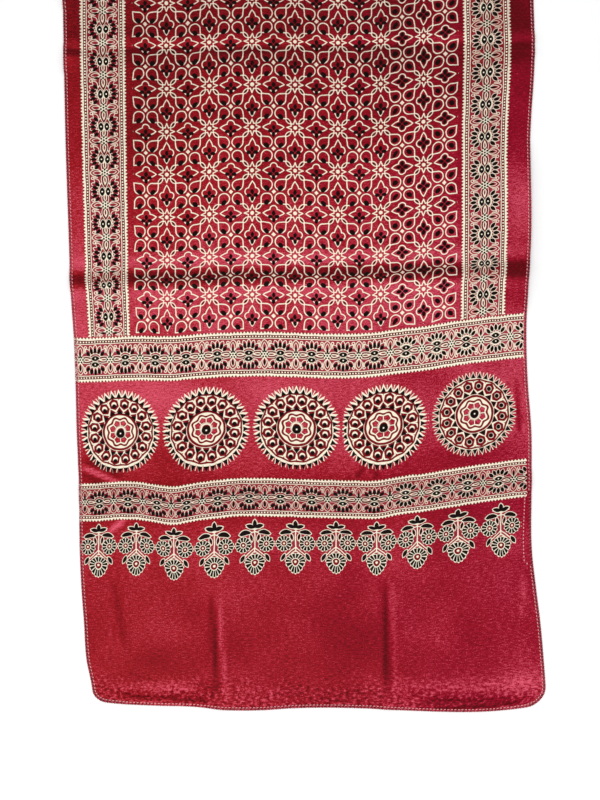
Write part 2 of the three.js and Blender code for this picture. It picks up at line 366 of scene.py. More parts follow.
def eased(at, start, end):
    """0 up to start and 1 from end, with a smooth step between."""
    t = np.clip((at - start) / (end - start), 0, 1)
    return t * t * (3 - 2 * t)


def corner_inset(from_end, radius):
    """How far a rounded corner pulls a long edge in, at a distance from the end."""
    rest = np.maximum(radius - from_end, 0)
    return radius - np.sqrt(radius * radius - rest * rest)


def cross_crease_lift(across, along):
    """Lift of the storage creases: ridges, some with a pressed-in middle."""
    lift = 0
    for crease in CROSS_CREASES:
        away = along - crease["along"] - crease["skew"] * across / CREASE_SPAN
        uneven = 1 - CREASE_UNEVEN + CREASE_UNEVEN * np.cos(across / CREASE_WAVE + crease["along"] * 1000)
        dip = crease["dip"] * hump(away, crease["half_width"] * DIP_SHARE)
        lift = lift + crease["height"] * uneven * (hump(away, crease["half_width"]) - dip)
    return lift


def long_crease_lift(across, along):
    """Lift of the soft lengthwise creases."""
    lift = 0
    for crease in LONG_CREASES:
        run = np.clip((along - crease["start"]) / (crease["end"] - crease["start"]), 0, 1)
        away = across - crease["across"] - crease["lean"] * run
        rise = crease["height"] * stretch(along, crease["start"], crease["end"])
        lift = lift + rise * hump(away, crease["half_width"])
    return lift


def wrinkle_lift(across, along):
    """Lift of the short slanted wrinkles."""
    lift = 0
    for wrinkle in WRINKLES:
        dx = across - wrinkle["across"]
        dy = along - wrinkle["along"] - wrinkle["slope"] * dx
        lift = lift + wrinkle["height"] * hump(dx, wrinkle["reach"]) * hump(dy, wrinkle["half_width"])
    return lift


def curl_lift(across, along, from_edges):
    """Lift of the curled edges, from each point's distance to every edge."""
    lift = 0
    for curl in EDGE_CURLS:
        at = across if curl["edge"] in ("near_end", "far_end") else along
        rise = hump(from_edges[curl["edge"]] - curl["crest"], curl["width"])
        lift = lift + curl["height"] * stretch(at, curl["start"], curl["end"]) * rise
    return lift


def swell_lift(across, along):
    """Lift of the low swells between the creases."""
    wave = np.sin(along / SWELL["along"] * math.pi + across * SWELL["drift"])
    wave = wave * np.cos(across / SWELL["across"] * math.pi)
    return SWELL["height"] * np.maximum(wave - SWELL["floor"], 0)


def cloth_points(u, v):
    """Return where the print's place u across and v along lies: x, y, lift, edge bulk and place along."""
    from_end = np.minimum(v, LENGTH - v)
    rise = 0
    for amount, starts, ends in (
        (print_rise(u), RISE_STARTS, RISE_ENDS),
        (border_waver(u), BORDER_WAVER_STARTS, BORDER_WAVER_ENDS),
        (spray_waver(u), SPRAY_WAVER_STARTS, BORDER_WAVER_STARTS),
    ):
        rise = rise + amount * eased(from_end, *starts) * (1 - eased(from_end, *ends))
    along = v + np.where(v < LENGTH / 2, 1, -1) * rise
    from_end = np.minimum(along, LENGTH - along)
    left = left_edge(from_end)
    right = right_edge(from_end)
    left_share = (-u - PRINT_PIVOT) / (-PRINT_EDGES[0] - PRINT_PIVOT)
    right_share = (u - PRINT_PIVOT) / (PRINT_EDGES[1] - PRINT_PIVOT)
    reach_left = left - corner_inset(from_end, CORNER_RADIUS_LEFT)
    reach_right = right - corner_inset(from_end, CORNER_RADIUS_RIGHT)
    across = np.where(
        u < -PRINT_PIVOT, -PRINT_PIVOT - left_share * (reach_left - PRINT_PIVOT),
        np.where(u > PRINT_PIVOT, PRINT_PIVOT + right_share * (reach_right - PRINT_PIVOT), u),
    )
    back = end_edge(across) * np.maximum(1 - from_end / END_LINE_REACH, 0)
    from_edges = {
        "left": across + reach_left,
        "right": reach_right - across,
        "near_end": along,
        "far_end": LENGTH - along,
    }
    lifts = (
        cross_crease_lift(across, along),
        long_crease_lift(across, along),
        wrinkle_lift(across, along),
        curl_lift(across, along, from_edges),
        swell_lift(across, along),
    )
    lift = np.sqrt(sum(part * part for part in lifts))
    bulk = EDGE_BULK * hump(np.minimum.reduce(list(from_edges.values())), EDGE_BULK_WIDTH)
    y = np.where(along < LENGTH / 2, along + back, along - back) - LENGTH / 2
    return across, y, lift, bulk, along


def painted_light_of(across, along):
    """Return the painted light at each point, from 0 in painted shade to 1 in painted sheen."""
    painted_light = painted_light_along(along)
    for patch in PAINTED_LIGHT_PATCHES:
        away_across = (across - patch["across"]) / patch["reach"][0]
        away_along = (along - patch["along"]) / patch["reach"][1]
        painted_light = painted_light + patch["amount"] * np.exp(-away_across ** 2 - away_along ** 2)
    for band in PAINTED_LIGHT_BANDS:
        away = along - band["along"] - band["skew"] * across / CREASE_SPAN
        painted_light = painted_light + band["amount"] * hump(away, band["half_width"])
    for line in PAINTED_LIGHT_LINES:
        (x0, y0), (x1, y1) = line["start"], line["end"]
        size = math.hypot(x1 - x0, y1 - y0)
        run = ((across - x0) * (x1 - x0) + (along - y0) * (y1 - y0)) / size
        away = ((across - x0) * (y1 - y0) - (along - y0) * (x1 - x0)) / size
        painted_light = painted_light + line["amount"] * stretch(run, 0, size) * hump(away, line["half_width"])
    return np.clip(painted_light, 0, 1)


def spaced(stops, pitch):
    """Return places from the first stop to the last, at most a pitch apart, with one on every stop."""
    places = [stops[0]]
    for start, end in zip(stops, stops[1:]):
        steps = max(round((end - start) / pitch), 1)
        places += [start + (end - start) * (i + 1) / steps for i in range(steps)]
    return np.array(places)


def grid_columns():
    """Places of the mesh's columns across the print, with one on the edge of every printed area."""
    left, right = PRINT_EDGES
    by_left = [left + step for step in EDGE_COLUMNS]
    by_right = [right - step for step in reversed(EDGE_COLUMNS)]
    return spaced((*by_left, *LEFT_BORDER, *RIGHT_BORDER, *by_right), COLUMN_PITCH)


def grid_rows():
    """Places of the mesh's rows along the print, with one on the edge of every printed area."""
    def half_way(pitch):
        stops = (END_ROWS[-1], SPRAY_ROW[0], *LOWER_BORDER, *UPPER_BORDER, LENGTH / 2)
        return np.concatenate((END_ROWS[:-1], spaced(stops, pitch)))

    far = LENGTH - half_way(FAR_ROW_PITCH)[::-1]
    return np.concatenate((half_way(NEAR_ROW_PITCH), far[1:]))


class Amount:
    """A number that nodes work out at every point of the cloth, so that a motif reads as plain sums."""

    def __init__(self, tree, socket):
        self.tree = tree
        self.socket = socket

    def __add__(self, other):
        return worked_out("ADD", self, other)

    def __sub__(self, other):
        return worked_out("SUBTRACT", self, other)

    def __rsub__(self, other):
        return worked_out("SUBTRACT", other, self)

    def __mul__(self, other):
        return worked_out("MULTIPLY", self, other)

    def __truediv__(self, other):
        return worked_out("DIVIDE", self, other)

    def __neg__(self):
        return worked_out("MULTIPLY", self, -1)

    def __abs__(self):
        return worked_out("ABSOLUTE", self)

    __radd__ = __add__


def worked_out(operation, *parts, clamp=False):
    """Join amounts and plain numbers in a Math node, and return what it works out."""
    tree = next(part.tree for part in parts if isinstance(part, Amount))
    node = tree.nodes.new("ShaderNodeMath")
    node.operation = operation
    node.use_clamp = clamp
    for place, part in zip(node.inputs, parts):
        if isinstance(part, Amount):
            tree.links.new(part.socket, place)
        else:
            place.default_value = part
    return Amount(tree, node.outputs[0])


def least(first, *others):
    """The least of some amounts, which joins shapes."""
    for other in others:
        first = worked_out("MINIMUM", first, other)
    return first


def most(first, *others):
    """The most of some amounts, which keeps only what lies in every shape."""
    for other in others:
        first = worked_out("MAXIMUM", first, other)
    return first


def wrapped(x, pitch):
    """Repeat x at a pitch, from minus half of it to plus half of it."""
    return worked_out("WRAP", x, pitch / 2, -pitch / 2)


def span(x, y):
    """Distance from the middle of a motif."""
    joined = x.tree.nodes.new("ShaderNodeCombineXYZ")
    x.tree.links.new(x.socket, joined.inputs[0])
    x.tree.links.new(y.socket, joined.inputs[1])
    node = x.tree.nodes.new("ShaderNodeVectorMath")
    node.operation = "LENGTH"
    x.tree.links.new(joined.outputs[0], node.inputs[0])
    return Amount(x.tree, node.outputs["Value"])


def turned(x, y, degrees):
    """Return x and y in a frame turned by an angle."""
    cosine, sine = math.cos(math.radians(degrees)), math.sin(math.radians(degrees))
    along = worked_out("MULTIPLY_ADD", y, sine, x * cosine)
    across = worked_out("MULTIPLY_ADD", y, cosine, x * -sine)
    return along, across


def disc(x, y, radius):
    """A filled circle. A shape, here and below, is its signed distance: less than 0 inside."""
    return span(x, y) - radius


def ring(x, y, radius, width):
    """A circle drawn as a line."""
    return abs(span(x, y) - radius) - width / 2


def outline(shape, width):
    """The line that runs along a shape's edge."""
    return abs(shape) - width / 2


def leaf(x, y, half_length, half_width):
    """A pointed leaf that lies along y."""
    radius = (half_length ** 2 + half_width ** 2) / (2 * half_width)
    return span(abs(x) + (radius - half_width), y) - radius


def slanted(x, y, first, second):
    """Signed distance from the straight line through two points, more than 0 on its left."""
    dx, dy = second[0] - first[0], second[1] - first[1]
    size = math.hypot(dx, dy)
    start = x * (-dy / size)
    return worked_out("MULTIPLY_ADD", y, dx / size, start) + (first[0] * dy - first[1] * dx) / size


def inside(shape, bleed=BLEED):
    """1 inside a shape and 0 outside it, with the slight bleed of a printed edge."""
    return worked_out("MULTIPLY_ADD", shape, -1 / bleed, 0.5, clamp=True)


def polar(x, y):
    """Distance from the middle of a motif, and the angle round it."""
    return span(x, y), worked_out("ARCTAN2", x, y)


def sector(rho, theta, count, between=False):
    """Fold a circle into equal sectors, and return the place in one of them: across and outwards.

    The first sector's middle is at angle 0, or half a sector further where it is to lie between.
    """
    half = math.pi / count
    turn = half if between else 0
    above_zero = 40 * half
    angle = worked_out("PINGPONG", theta + (turn + above_zero), half)
    return rho * worked_out("SINE", angle), rho * worked_out("COSINE", angle)


def print_place(tree):
    """Return the print's across and along in millimetres, a little uneven as a hand block leaves it."""
    place = tree.nodes.new("ShaderNodeUVMap")
    place.uv_map = PRINT_MAP
    shake = tree.nodes.new("ShaderNodeTexNoise")
    shake.inputs["Scale"].default_value = SHAKE_SCALE
    shake.inputs["Detail"].default_value = 1
    tree.links.new(place.outputs["UV"], shake.inputs["Vector"])
    centred = tree.nodes.new("ShaderNodeVectorMath")
    centred.operation = "MULTIPLY_ADD"
    centred.inputs[1].default_value = (SHAKE, SHAKE, 0)
    centred.inputs[2].default_value = (-SHAKE / 2, -SHAKE / 2, 0)
    tree.links.new(shake.outputs["Color"], centred.inputs[0])
    moved = tree.nodes.new("ShaderNodeVectorMath")
    moved.operation = "MULTIPLY_ADD"
    moved.inputs[1].default_value = (MILLIMETRES, MILLIMETRES, 0)
    tree.links.new(place.outputs["UV"], moved.inputs[0])
    tree.links.new(centred.outputs[0], moved.inputs[2])
    split = tree.nodes.new("ShaderNodeSeparateXYZ")
    tree.links.new(moved.outputs[0], split.inputs[0])
    return Amount(tree, split.outputs[0]), Amount(tree, split.outputs[1])


# The drawings, charted from one repeat of each. Their numbers are millimetres on the cloth:
# places first, then a radius or a half length and half width, then the width of a line. Each returns
# its layers, in the order in which silk_material prints them.


def black_slip(across, slip):
    """How far the black block fell short of the cream one: by slip on the left and not on the right."""
    return inside(across - BLACK_TRUE_FROM, 10) * slip


def plain_ground(across, along):
    """No print."""
    return {}


def crease_shift(along):
    """Take back the print's shift at the field's crease, where the cloth was tucked for printing."""
    return along - inside(along - CREASE_SHIFT_BELOW, 12) * CREASE_SHIFT


def field_lattice(across, along):
    """Stars joined by looped strands, with four drops round each dot and a quatrefoil on each side."""
    pitch, middle, first_row = 50.96, -8.3, 464.1
    half = pitch / 2
    edge = 3.5 * pitch
    print_margin, tip_margin, foil_margin = 15.6, 8, 12.9
    line = 1.25
    along = crease_shift(along)

    def folded(u, v):
        x = abs(wrapped(u - (middle - half), pitch))
        y = abs(wrapped(v - first_row, pitch))
        return x, y, most(x, y), least(x, y)

    def within(shape, margin):
        return most(shape, abs(across - middle) - edge - margin, first_row - margin - along)

    x, y, long_side, short_side = folded(across, along)
    out = (x + y) * math.sqrt(0.5)
    side = abs(x - y) * math.sqrt(0.5)
    drop_centre, drop_radius, tip = 11.4, 6.4, 21.2
    slope = math.asin(drop_radius / (tip - drop_centre))
    cone = worked_out("MULTIPLY_ADD", side, math.cos(slope), (out - tip) * math.sin(slope))
    touch = drop_centre + drop_radius * math.sin(slope)
    drop = least(disc(out - drop_centre, side, drop_radius), most(cone, touch - out))
    bud_y = out - 24.8
    slit = within(leaf(side, bud_y, 2.6, 0.8), tip_margin)
    bud = outline(leaf(side, bud_y, 4.6, 1.9), 1.1)
    cream = least(outline(drop, line), within(bud, tip_margin), long_side + short_side - 2.7)

    star_x, star_y = half - long_side, half - short_side
    ray_tip, ray_foot, ray_notch = (0, 9.6), (2.0, 4.6), (4.6, 4.7)
    star = least(slanted(star_x, star_y, ray_tip, ray_foot), slanted(star_x, star_y, ray_foot, ray_notch))
    cream = least(cream, most(outline(star, 1.3), star_y - 10.2), disc(star_x, star_y, 2.3))

    foil = least(leaf(star_x, short_side, 12.4, 4.6), disc(star_x - 4.3, short_side, 4.3))
    cream = least(cream, within(outline(foil, line), foil_margin))

    x, y, long_side, short_side = folded(across, along + black_slip(across, 4.3))
    out = (x + y) * math.sqrt(0.5)
    side = (x - y) * math.sqrt(0.5)
    black = disc((out - 11.8) * 0.74, side, 2.8)
    clover_side = half - long_side
    clover_far, clover_near = most(clover_side, short_side), least(clover_side, short_side)
    black = least(black, leaf(clover_near, clover_far - 4.0, 3.2, 2.2), slit)
    return {"cream": within(cream, print_margin), "black": within(black, print_margin)}


def border_band(across, along, width, pitch, slip_across=0.0, slip_along=0.0, heavy=0.0):
    """A band with toothed rims and dotted strips. A lotus with two eyes and a cross flower fill it in turn.

    It is drawn 52.6 wide from tooth to tooth, folded at its middle line, and scaled to its width. c is the
    distance from that line. heavy makes the cream and black of its middle as much thicker all round.
    """
    scale = 52.6 / width
    middle_half, line_at, strip_at, ground_half, teeth_from = 17.9, 18.4, 20.6, 22.2, 22.3
    tooth_pitch, dot_pitch = 2.0, 3.5

    def folded(u, v):
        from_lotus = abs(wrapped(v, pitch))
        return abs(u) * scale, from_lotus, pitch / 2 - from_lotus

    def crown_petal(c, from_lotus):
        """Place in the nearest of the five petals that fan out from each side of the lotus."""
        step = math.radians(22.5)
        angle = worked_out("ARCTAN2", from_lotus, c)
        local = angle - least(worked_out("ROUND", angle / step), 2.0) * step
        rho = span(c, from_lotus)
        return rho * worked_out("SINE", local), rho * worked_out("COSINE", local)

    c, from_lotus, from_cross = folded(across, along)
    petal_x, petal_y = crown_petal(c, from_lotus)
    above_axis = from_lotus * 0.42 + 1.0 - c
    cross_x, cross_y = sector(*polar(from_cross, c), 6, between=True)
    cream = least(
        outline(leaf(petal_x, petal_y - 13.0, 4.3, 2.35), 0.9),
        most(ring(c + 1.3, from_lotus, 8.7, 1.3), above_axis),
        outline(leaf(c, from_lotus - 11.0, 10.6, 4.1), 0.8),
        leaf(c, from_lotus - 11.4, 7.2, 2.1),
        disc(c, from_cross, 4.7),
        outline(leaf(from_cross, c - 10.4, 6.5, 4.2), 1.0),
        outline(leaf(from_cross, c - 8.8, 4.9, 2.2), 0.8),
        ring(c - 14.2, from_cross - 6.3, 1.5, 1.0),
        most(abs(from_cross - 5.4) - 0.45, abs(c - 10.6) - 2.8),
    )
    tooth = worked_out("PINGPONG", along, tooth_pitch)
    teeth = most(c - 26.3 + tooth * 1.2, teeth_from - c)
    cream = least(most(cream + heavy, c - middle_half), abs(c - line_at) - 0.5, teeth)
    black = least(
        disc(cross_x, cross_y - 3.3, 1.1),
        disc(c, from_cross, 1.1),
        outline(leaf(c, from_lotus - 9.2, 6.6, 3.0), 0.75),
    )
    vein = leaf(c, from_lotus - 10.6, 3.4, 0.9)
    notch = most(27.7 - tooth * 1.95 - c, c - 25.8)
    dark = least(abs(c - strip_at) - 1.7, notch)
    dots = disc(c - strip_at, wrapped(along, dot_pitch), 0.9)

    c, from_lotus, from_cross = folded(across + slip_across, along + slip_along)
    petal_x, petal_y = crown_petal(c, from_lotus)
    eye_y = c - 3.5
    hollow = most(disc(c + 1.3, from_lotus, 7.9), above_axis)
    eye_rim = outline(leaf(eye_y, from_lotus, 5.5, 3.2), 0.5)
    black = least(
        black,
        leaf(petal_x, petal_y - 12.6, 3.5, 1.95),
        leaf(eye_y, from_lotus, 5.1, 3.0),
        leaf(from_cross, c - 7.6, 3.6, 1.2),
    )
    return {
        "deep": abs(across) * scale - ground_half,
        "cream": cream,
        "deep_over": vein,
        "dark": least(dark, hollow),
        "black": most(black - heavy, c - middle_half),
        "dots": least(dots, disc(eye_y, from_lotus, 0.85), eye_rim),
    }


def wedges(x, y, count, near, far, slope):
    """Wedges that stand in a circle, between a near and a far radius."""
    wedge_x, wedge_y = sector(*polar(x, y), count, between=True)
    return most(wedge_x - wedge_y * slope, abs(wedge_y - (near + far) / 2) - (far - near) / 2)


def spikes(x, y, count, near, far, half_width):
    """Triangles that stand in a circle on a near radius, with their tips on a far one."""
    spike_x, spike_y = sector(*polar(x, y), count)
    return most(slanted(spike_x, spike_y, (0, far), (half_width, near)), near - spike_y)


def medallion(across, along):
    """Five rayed wheels: an eight-petalled rosette, sixteen hexagons round it and a ring of spikes."""
    pitch, middle, row = 107.4, -8.2, 336.8
    spike_count, hexagon_count, petal_count = 36, 16, 8
    rim, hexagon_ring = 42.4, 33.2
    nudged = across
    for place, reach, nudge in ((-57, 105, -1.7), (100, 50, 2.3)):
        nudged = nudged + inside(abs(across - place) - reach) * nudge
    x = wrapped(nudged - middle, pitch) * 0.96
    y = along - row
    rho, theta = polar(x, y)
    outside = most(abs(nudged - middle) - 2.5 * pitch + 0.5, abs(y) - 52)

    tick_x, tick_y = sector(rho, theta, spike_count, between=True)
    ticks = most(tick_x - 0.45, abs(tick_y - 46.0) - 3.4)
    petal_x, petal_y = sector(rho, theta, petal_count, between=True)
    gap_angle = math.pi / petal_count
    petal = most(
        slanted(petal_x, petal_y, (0, 14.2), (4.5, 10.9)),
        0.5 - petal_y * math.sin(gap_angle) + petal_x * math.cos(gap_angle),
        6.9 - rho + worked_out("COSINE", theta * (4 * petal_count)) * 1.1,
    )
    cream = most(least(rho - rim, spikes(x, y, spike_count, 42.0, 50.6, 3.6), ticks), -petal)

    lobes = worked_out("COSINE", theta * petal_count + math.pi) * 1.3
    wave = worked_out("COSINE", theta * hexagon_count) * 0.5
    hexagon_x, hexagon_y = sector(rho, theta, hexagon_count, between=True)
    hexagon_y = abs(hexagon_y - hexagon_ring)
    hexagon = most(hexagon_x, hexagon_x * 0.5 + hexagon_y * 0.76)
    deep = least(
        outline(rho - 15.8 - lobes, 2.4),
        outline(rho - 20.9, 2.8),
        most(hexagon - 5.5, 3.05 - span(hexagon_x, hexagon_y)),
        outline(rho - 40.3 + wave, 2.0),
        rho - 4.7,
        outline(petal + 0.5, 0.6),
        spikes(x, y, hexagon_count, 22.8, 29.4, 4.5),
        most(7.1 - hexagon, 34.5 - rho, rho - 41.0),
    )

    black_true_from, black_drop = 152, 1.9
    y = y + inside(nudged - black_true_from, 10) * black_drop
    pip_x, pip_y = sector(*polar(x, y), hexagon_count, between=True)
    black = least(
        spikes(x, y, spike_count, 42.2, 48.8, 3.1),
        spikes(x, y, hexagon_count, 23.0, 28.6, 3.9),
        disc(pip_x, pip_y - 33.0, 2.6),
        disc(x, y, 5.2),
    )
    return {
        "cream": most(cream, outside),
        "deep_over": most(deep, outside),
        "black": most(black, outside),
        "dots": disc(x, y, 0.95),
    }


def daisy(x, y, radius, count):
    """A round flower: its scalloped cream, the red ring round its dot, and its black wedges."""
    rho, theta = polar(x, y)
    slope = 0.76 * math.tan(math.pi / count)
    return {
        "cream": rho - radius + worked_out("COSINE", theta * count) * 0.5,
        "ring": ring(x, y, radius * 0.22, radius * 0.20),
        "black": wedges(x, y, count, radius * 0.40, radius * 0.94, slope),
    }


def spray_row(across, along):
    """Flower sprays in a row: a lily, two arched leaves, a stem, two side daisies and a large one."""
    pitch, middle, row = 48.3, -7.8, 163.8
    squeeze_from, squeeze_width, squeeze = 200, 40, 4.5
    x = wrapped(across - inside(squeeze_from - across, squeeze_width) * squeeze - middle, pitch)
    y = along - row
    side = abs(x)
    from_row_end = abs(across - middle) - 5.5 * pitch
    bounds = from_row_end - 5.5

    wing_x, wing_y = turned(side - 5.0, y - 55.8, 15)
    bud = least(leaf(x, y - 58.2, 4.6, 2.6), leaf(wing_y, wing_x, 5.4, 2.3))
    arch_x, arch_y = turned(side - 11.6, y - 48.4, -9)
    slim_x, slim_y = turned(side - 4.3, y - 43.4, 76)
    frond_x, frond_y = turned(side - 14.7, y - 19.4, -62)
    stem = most(side - 0.65, abs(y - 39.5) - 13.5)
    link = most(disc(pitch / 2 - side, y - 35.6, 0.9), from_row_end + 9)
    cream = least(
        bud - 0.8,
        most(leaf(arch_y, arch_x, 8.4, 4.1), -2.1 - arch_y),
        outline(leaf(slim_y, slim_x, 4.9, 2.1), 0.75),
        leaf(frond_y, frond_x, 6.0, 2.8),
        stem,
        link,
    )
    stalks = (
        ((0, 52.2), (10.6, 55.4)),
        ((0, 50.4), (5.4, 48.6)),
        ((0, 31.8), (13, 20.6)),
        ((0, 27.6), (6.0, 23.2)),
    )
    for start, end in stalks:
        cream = least(cream, most(abs(slanted(side, y, start, end)) - 0.55, side - end[0]))

    small = daisy(side - 13.7, y - 35.8, 9.5, 12)
    drop_y = y - 14.2
    narrowed = x * (1 + most(-drop_y, 0.0) * 0.022)
    flattened = worked_out("MULTIPLY_ADD", drop_y, 0.85, most(drop_y, 0.0) * 0.35)
    large = daisy(narrowed, flattened, 12.4, 15)
    black = least(
        bud,
        most(leaf(arch_y, arch_x, 7.3, 3.4), -1.5 - arch_y),
        leaf(slim_y, slim_x, 3.9, 1.4),
        leaf(frond_y, frond_x, 4.9, 2.2),
        small["black"],
        large["black"],
    )
    return {
        "deep": most(leaf(x, y - 36, 22, 11), bounds),
        "cream": most(least(cream, small["cream"], large["cream"]), bounds),
        "deep_over": most(least(small["ring"], large["ring"]), bounds),
        "black": most(black, bounds),
    }


def left_border_band(across, along):
    """The band left of the field, with its black printed a little askew."""
    return border_band(across + 237.4, crease_shift(along) - 819, 55.5, 38.5, slip_along=3.3, heavy=0.05)


def right_border_band(across, along):
    """The band right of the field."""
    return border_band(across - 219.5, crease_shift(along) - 819, 57.2, 38.5, heavy=0.11)


def upper_border_band(across, along):
    """The band between the field and the medallions."""
    slip = black_slip(across, 2.0)
    shapes = border_band(along - 423.5, across - 11.5, 54.2, 37.4, slip_across=slip, heavy=0.04)
    return {name: most(shape, across - 272.0) for name, shape in shapes.items()}


def lower_border_band(across, along):
    """The band between the medallions and the sprays."""
    slip = black_slip(across, 1.8)
    shapes = border_band(along - 253.3, across - 11.5, 46.5, 37.2, slip_across=slip, heavy=0.19)
    return {name: most(shape, across - 269.3) for name, shape in shapes.items()}


# Each printed area, in the order of the cloth's materials, with the drawing that fills it. The cotton
# back's material comes after them.
PRINTED_AREAS = (
    ("plain_end", plain_ground),
    ("spray_print", spray_row),
    ("lower_border_print", lower_border_band),
    ("medallion_print", medallion),
    ("upper_border_print", upper_border_band),
    ("field_print", field_lattice),
    ("left_border_print", left_border_band),
    ("right_border_print", right_border_band),
)
AREA = {name: place for place, (name, drawing) in enumerate(PRINTED_AREAS)}


def colour(red, green, blue):
    """Turn a colour as seen on screen, 0 to 255, into the linear one that a material takes."""
    def linear(level):
        level /= 255
        return level / 12.92 if level <= 0.04045 else ((level + 0.055) / 1.055) ** 2.4

    return (linear(red), linear(green), linear(blue), 1)


def dye(name, description, red, green, blue):
    """Make a colour property, its default given as seen on screen."""
    return bpy.props.FloatVectorProperty(
        name=name, description=description, subtype="COLOR", size=4, min=0, max=1,
        default=colour(red, green, blue))


class StoleColours(bpy.types.PropertyGroup):
    """Colours of the dyes, the undyed silk and the thread, and of the ground red in painted shade and
    painted sheen
    """

    # shade_red and lit_red are the ground red with painted shade and with painted sheen
    shade_red: dye("Madder in shade", "Ground where the satin turns from the light", 88, 3, 10)
    ground_red: dye("Madder ground", "Ground in even light", 164, 20, 31)
    crimson_red: dye("Bluer madder", "Ground where the dye took bluer, mostly on the right", 156, 6, 40)
    lit_red: dye("Madder in full light", "Ground where the satin shines", 232, 94, 118)
    deep_red: dye("Deep madder", "Second red, printed inside the borders and medallions", 122, 10, 22)
    cream: dye("Undyed silk", "Lines that the resist kept from the dye", 255, 247, 222)
    black: dye("Iron black", "Black print", 20, 5, 4)
    needle_thread: dye("Needle thread", "Pale stitches along the edge", 255, 186, 190)
    # Every second wrap over the edge takes this paler pink thread colour
    pale_thread: dye("Worn thread", "Every second wrap over the edge, rubbed pale", 214, 98, 114)
    loop_thread: dye("Loop thread", "Dark thread wrapped over the edge", 104, 18, 32)
    back_red: dye("Cotton back", "Duller red of the cotton side", 138, 34, 44)


class StoleSizes(bpy.types.PropertyGroup):
    """Sizes of the stitches and of the stage"""

    stitch_pitch: bpy.props.FloatProperty(
        name="Stitch pitch", description="Distance between two stitches of the edge",
        unit="LENGTH", default=0.0042, min=0.002)
    stitch_inset: bpy.props.FloatProperty(
        name="Stitch inset", description="Distance of the needle line from the cut edge",
        unit="LENGTH", default=0.0031, min=0.001)
    thread_radius: bpy.props.FloatProperty(
        name="Thread radius", description="Half the thickness of the loop thread",
        unit="LENGTH", default=0.00036, min=0.0001)
    floor_size: bpy.props.FloatProperty(
        name="Floor size", description="Length of each side of the floor",
        unit="LENGTH", default=14.0, min=3)
    camera_height: bpy.props.FloatProperty(
        name="Camera height", description="Height of the camera above the floor",
        unit="LENGTH", default=1.322, min=0.5)


def mixed(tree, share, first, second):
    """Return a colour socket that goes from first to second as share goes from 0 to 1."""
    node = tree.nodes.new("ShaderNodeMix")
    node.data_type = "RGBA"
    if isinstance(share, Amount):
        tree.links.new(share.socket, node.inputs[0])
    else:
        node.inputs[0].default_value = share
    for place, part in ((node.inputs[6], first), (node.inputs[7], second)):
        if isinstance(part, bpy.types.NodeSocket):
            tree.links.new(part, place)
        else:
            place.default_value = part
    return node.outputs[2]


def noise(tree, scale, detail=2.0):
    """Return noise over the print, with its own scale across and along, centred on 0.5."""
    place = tree.nodes.new("ShaderNodeUVMap")
    place.uv_map = PRINT_MAP
    mapping = tree.nodes.new("ShaderNodeMapping")
    mapping.inputs["Scale"].default_value = (*scale, 1)
    tree.links.new(place.outputs["UV"], mapping.inputs["Vector"])
    node = tree.nodes.new("ShaderNodeTexNoise")
    node.inputs["Scale"].default_value = 1
    node.inputs["Detail"].default_value = detail
    tree.links.new(mapping.outputs["Vector"], node.inputs["Vector"])
    return Amount(tree, node.outputs[0])


def satin_ground(tree, colours):
    """Return the colour of the dyed satin with painted sheen and painted shade in it, and its painted
    light, with painted cross streaks and cloudy dye.
    """
    attribute = tree.nodes.new("ShaderNodeAttribute")
    attribute.attribute_name = PAINTED_LIGHT
    painted_light = Amount(tree, attribute.outputs["Fac"])
    across, along = print_place(tree)
    # Streaks, grain, clouds and the hem's crinkle, added to the painted light as painted sheen and shade
    for scale, detail, amount in (
        (SHEEN_STREAKS, 2, 0.82),
        (SHEEN_GRAIN, 1, 1.0),
        (SHEEN_CLOUDS, 3, 0.44),
        (HEM_CRINKLE_SHEEN, 1, inside(along - HEM_REACH, HEM_REACH) * 1.5),
    ):
        painted_light = painted_light + (noise(tree, scale, detail) - 0.5) * amount
    painted_light = worked_out("ADD", painted_light, 0.0, clamp=True)
    cloudy = (noise(tree, DYE_CLOUDS) - 0.1) * 0.9
    bluer = worked_out("MULTIPLY_ADD", across, BLUER_PER_MILLIMETRE, cloudy, clamp=True)
    ground = mixed(tree, bluer, colours.ground_red, colours.crimson_red)
    # Painted shade towards 0 and painted sheen towards 1
    to_ground = worked_out("MULTIPLY", painted_light, 2.0, clamp=True)
    to_lit = worked_out("MULTIPLY_ADD", painted_light, 2.0, -1.0, clamp=True)
    return mixed(tree, to_lit, mixed(tree, to_ground, colours.shade_red, ground), colours.lit_red), painted_light


def weave_bump(tree):
    """Return the fine relief of the satin weave and its small cross wrinkles, as a normal."""
    height = noise(tree, YARNS, 1) * 0.35 + noise(tree, CROSS_WRINKLES, 3)
    bump = tree.nodes.new("ShaderNodeBump")
    bump.inputs["Strength"].default_value = 0.35
    bump.inputs["Distance"].default_value = 0.0012
    tree.links.new(height.socket, bump.inputs["Height"])
    return bump.outputs["Normal"]


def new_material(name):
    """Make a material, and return it with its node tree and shader."""
    material = bpy.data.materials.new(name)
    material.use_nodes = True
    return material, material.node_tree, material.node_tree.nodes["Principled BSDF"]


def cotton_material(name, colours):
    """Make the material of the cotton back: duller and a little cloudy, with no print."""
    material, tree, shader = new_material(name)
    dull = mixed(tree, noise(tree, BACK_CLOUDS, 3), colours.back_red, colours.deep_red)
    tree.links.new(dull, shader.inputs["Base Color"])
    shader.inputs["Roughness"].default_value = 0.75
    shader.inputs["Sheen Weight"].default_value = 0.15
    tree.links.new(weave_bump(tree), shader.inputs["Normal"])
    return material


